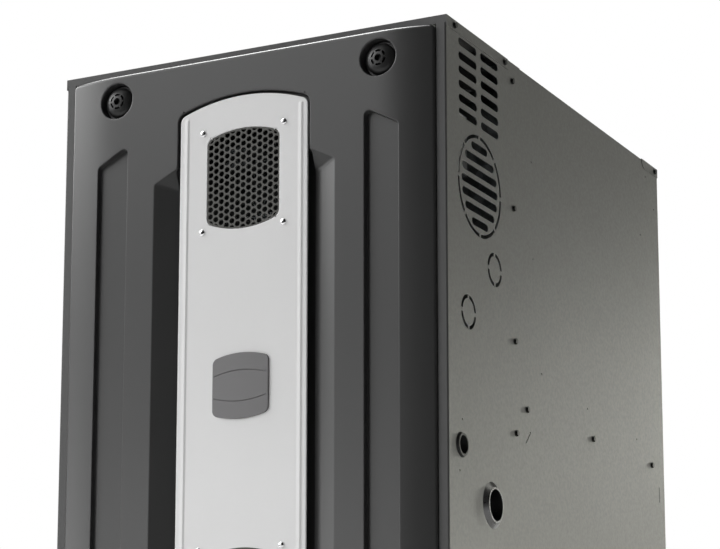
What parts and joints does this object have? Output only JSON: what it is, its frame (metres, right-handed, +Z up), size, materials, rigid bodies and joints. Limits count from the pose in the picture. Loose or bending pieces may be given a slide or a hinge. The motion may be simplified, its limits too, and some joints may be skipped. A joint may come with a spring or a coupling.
{
  "type": "forced air gas furnace",
  "caption": "Upflow forced air gas furnace in a dark grey cabinet, with a tilting front door, silver centre panel, mesh grilles, quarter-turn knobs and vented side walls.",
  "frame": {"origin": "centre of the bounding box on the floor", "axes": "+Z up, -Y out of the front door, +X to the right when seen from the front"},
  "size_m": [0.5434, 0.7302, 0.8636],
  "materials": {
    "casing_paint": "matte powder coat",
    "galvanised": "galvanised",
    "zinc": "zinc plated",
    "stainless": "stainless steel",
    "black_screw": "black oxide",
    "liner_dark": "dark primed steel",
    "aluminised": "aluminised steel",
    "aluminium": "satin",
    "motor_black": "black enamel",
    "pipe_black": "black iron pipe",
    "black_plastic": "moulded",
    "board_green": "solder mask",
    "white_plastic": "moulded",
    "red_plastic": "moulded",
    "rubber_black": "matte",
    "insulation": "foil-faced fibre",
    "door_grey": "fine moulded grain",
    "knob_black": "moulded",
    "panel_silver": "silver paint",
    "mesh_dark": "dark painted mesh",
    "badge_grey": "satin",
    "chrome_screw": "polished"
  },
  "bodies": {
    "cabinet": {"side_panel_right": "casing_paint", "side_panel_left": "casing_paint", "back_panel": "casing_paint", "base_pan": "galvanised", "base_rail": "casing_paint", "top_cover": "casing_paint", "rear_top_rail": "casing_paint", "header_rail": "galvanised", "latch_rings": "zinc", "blower_deck": "galvanised", "vestibule_panel": "galvanised", "control_plate": "galvanised", "casing_screws": "black_screw", "conduit_bushings": "rubber_black", "drain_couplings": "zinc", "side_insulation": "insulation", "heat_exchanger_tubes": "aluminised", "rear_header": "stainless", "secondary_tubes": "stainless", "secondary_fins": "aluminium", "cold_header": "black_plastic", "burner_box": "galvanised", "burners": "stainless", "gas_manifold": "pipe_black", "gas_valve": "aluminium", "igniter": "white_plastic", "flame_sensor": "stainless", "rollout_switches": "black_plastic", "limit_switch": "black_plastic", "inducer_housing": "black_plastic", "inducer_motor": "motor_black", "vent_pipe": "white_plastic", "pipe_collars": "rubber_black", "condensate_trap": "black_plastic", "drain_hose": "rubber_black", "pressure_switch": "black_plastic", "pressure_tubes": "rubber_black", "control_board": "board_green", "transformer": "black_plastic", "door_switch": "black_plastic", "junction_box": "galvanised", "blower_housing": "galvanised", "blower_motor": "motor_black", "motor_bracket": "galvanised", "wiring_harness": "rubber_black"},
    "door": {"door_shell": "door_grey", "door_liner": "liner_dark", "door_gasket": "rubber_black", "centre_panel": "panel_silver", "panel_grilles": "mesh_dark", "badge_plate": "badge_grey", "panel_screws": "chrome_screw"},
    "knob_left": {"knob_left": "knob_black"},
    "knob_right": {"knob_right": "knob_black"},
    "blower_wheel": {"blower_wheel": "galvanised"},
    "inducer_wheel": {"inducer_wheel": "aluminium"},
    "gas_valve_switch": {"gas_valve_switch": "white_plastic"},
    "door_switch_plunger": {"door_switch_plunger": "white_plastic"},
    "rollout_button_left": {"rollout_button_left": "red_plastic"},
    "rollout_button_right": {"rollout_button_right": "red_plastic"}
  },
  "joints": [
    {"name": "door_tilt", "type": "hinge", "parent": "cabinet", "child": "door", "pos_m": [0, -0.34887, 0.0202], "axis": [1, 0, 0], "range_deg": [0, 20]},
    {"name": "knob_left_turn", "type": "hinge", "parent": "door", "child": "knob_left", "pos_m": [-0.1833, -0.34887, 0.819], "axis": [0, 1, 0], "range_deg": [0, 90]},
    {"name": "knob_right_turn", "type": "hinge", "parent": "door", "child": "knob_right", "pos_m": [0.1833, -0.34887, 0.819], "axis": [0, 1, 0], "range_deg": [0, 90]},
    {"name": "blower_spin", "type": "hinge", "parent": "cabinet", "child": "blower_wheel", "pos_m": [0, 0.07112, 0.205], "axis": [1, 0, 0], "continuous": true},
    {"name": "inducer_spin", "type": "hinge", "parent": "cabinet", "child": "inducer_wheel", "pos_m": [-0.145, -0.17388, 0.58], "axis": [0, 1, 0], "continuous": true},
    {"name": "gas_valve_slide", "type": "slide", "parent": "cabinet", "child": "gas_valve_switch", "axis": [-1, 0, 0], "range_m": [0, 0.009]},
    {"name": "plunger_slide", "type": "slide", "parent": "cabinet", "child": "door_switch_plunger", "axis": [0, -1, 0], "range_m": [0, 0.006]},
    {"name": "rollout_left_push", "type": "slide", "parent": "cabinet", "child": "rollout_button_left", "axis": [0, 1, 0], "range_m": [0, 0.0015], "stiffness_N_per_m": 200, "springref_m": -0.001},
    {"name": "rollout_right_push", "type": "slide", "parent": "cabinet", "child": "rollout_button_right", "axis": [0, 1, 0], "range_m": [0, 0.0015], "stiffness_N_per_m": 200, "springref_m": -0.001}
  ],
  "couplings": [
    {"joint": "plunger_slide", "follows": "door_tilt", "m_per_rad": 0.0143}
  ]
}
